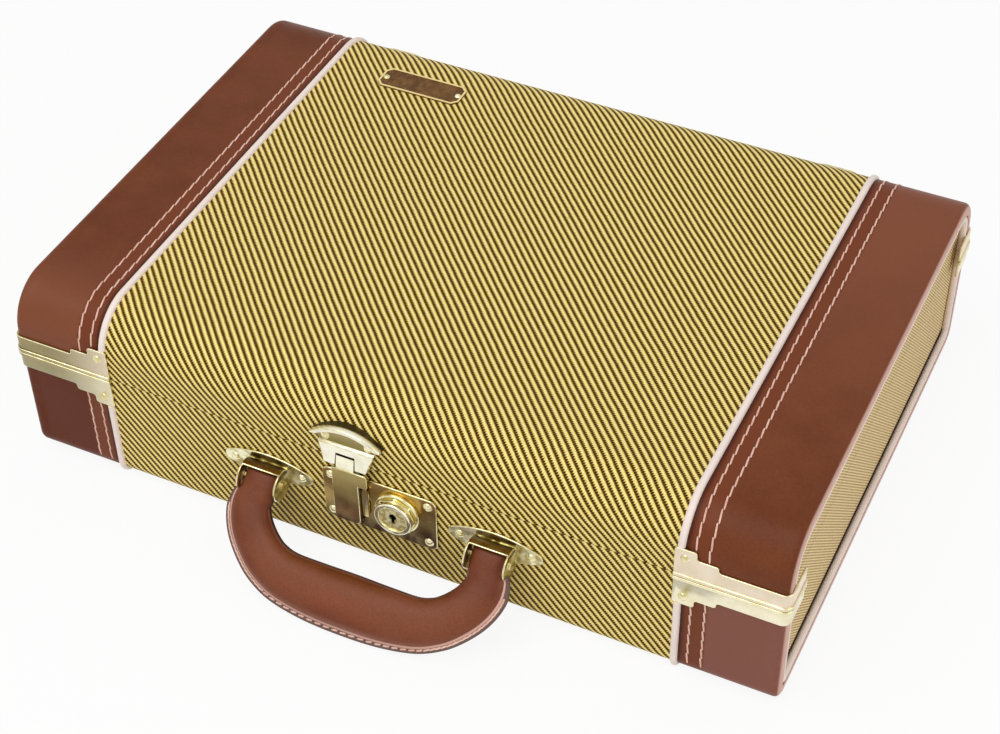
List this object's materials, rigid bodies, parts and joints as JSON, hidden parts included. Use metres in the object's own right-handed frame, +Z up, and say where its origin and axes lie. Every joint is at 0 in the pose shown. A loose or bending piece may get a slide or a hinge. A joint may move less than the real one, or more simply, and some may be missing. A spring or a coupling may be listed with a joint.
{
  "type": "harmonica case",
  "caption": "Hard rectangular case with a hinged lid, key latch, corner clamps and a leather carrying handle, fitted inside for a set of harmonicas.",
  "frame": {"origin": "middle of the bottom face that the case lies on", "axes": "+X along the length, handle side towards -Y, +Z up through the lid"},
  "size_m": [0.3332, 0.2718, 0.0865],
  "materials": {
    "plywood": "raw",
    "striped_cloth": "lacquered diagonal weave",
    "leather": "smooth, satin",
    "piping": "smooth",
    "brass": "polished plating",
    "steel": "plain",
    "plush": "plush",
    "foam": "foam wrapped in plush"
  },
  "bodies": {
    "base": {"base_band_piping_left": "piping", "base_band_piping_right": "piping", "base_clamp_back_left": "brass", "base_clamp_back_right": "brass", "base_clamp_front_left": "brass", "base_clamp_front_right": "brass", "base_clamp_rivets": "brass", "base_cloth": "striped_cloth", "base_end_cloth_left": "striped_cloth", "base_end_cloth_right": "striped_cloth", "base_end_piping_left": "piping", "base_end_piping_right": "piping", "base_hinge_leaves": "brass", "base_hinge_rivets": "brass", "base_leather_left": "leather", "base_leather_right": "leather", "base_lining": "plush", "base_shell": "plywood", "bottom_cloth": "striped_cloth", "handle_mount_rivets": "brass", "handle_mounts": "brass", "handle_pins": "brass", "hasp_hinge_pin": "steel", "hinge_pins": "steel", "lock_housing": "brass", "lock_plate": "brass", "lock_plate_rivets": "brass", "tray_board": "foam", "tray_dividers": "foam", "tray_rails": "foam"},
    "lid": {"lid_band_piping_left": "piping", "lid_band_piping_right": "piping", "lid_clamp_back_left": "brass", "lid_clamp_back_right": "brass", "lid_clamp_front_left": "brass", "lid_clamp_front_right": "brass", "lid_clamp_rivets": "brass", "lid_cloth": "striped_cloth", "lid_end_cloth_left": "striped_cloth", "lid_end_cloth_right": "striped_cloth", "lid_end_piping_left": "piping", "lid_end_piping_right": "piping", "lid_hinge_leaves": "brass", "lid_hinge_rivets": "brass", "lid_leather_left": "leather", "lid_leather_right": "leather", "lid_lining": "plush", "lid_pad": "plush", "lid_shell": "plywood", "catch": "brass", "catch_rivets": "brass", "name_plate": "brass", "name_plate_rivets": "brass"},
    "hasp": {"hasp": "brass"},
    "plug": {"lock_plug": "brass", "lock_cam": "steel"},
    "bolt": {"lock_bolt": "brass"},
    "handle": {"handle_core": "steel", "handle_leather": "leather"}
  },
  "joints": [
    {"name": "lid_hinge", "type": "hinge", "parent": "base", "child": "lid", "pos_m": [0, 0.116, 0.055], "axis": [-1, 0, 0], "range_deg": [0, 105]},
    {"name": "hasp_hinge", "type": "hinge", "parent": "base", "child": "hasp", "pos_m": [-0.0125, -0.1158, 0.0272], "axis": [1, 0, 0], "range_deg": [0, 85]},
    {"name": "plug_turn", "type": "hinge", "parent": "base", "child": "plug", "pos_m": [0.008, -0.1184, 0.0372], "axis": [0, -1, 0], "range_deg": [0, 90]},
    {"name": "bolt_slide", "type": "slide", "parent": "base", "child": "bolt", "axis": [0, 0, 1], "range_m": [0, 0.00263]},
    {"name": "handle_swing", "type": "hinge", "parent": "base", "child": "handle", "pos_m": [0, -0.1188, 0.0345], "axis": [-1, 0, 0], "range_deg": [-38, 55]}
  ],
  "couplings": [
    {"joint": "bolt_slide", "follows": "plug_turn", "m_per_rad": 0.001668}
  ]
}
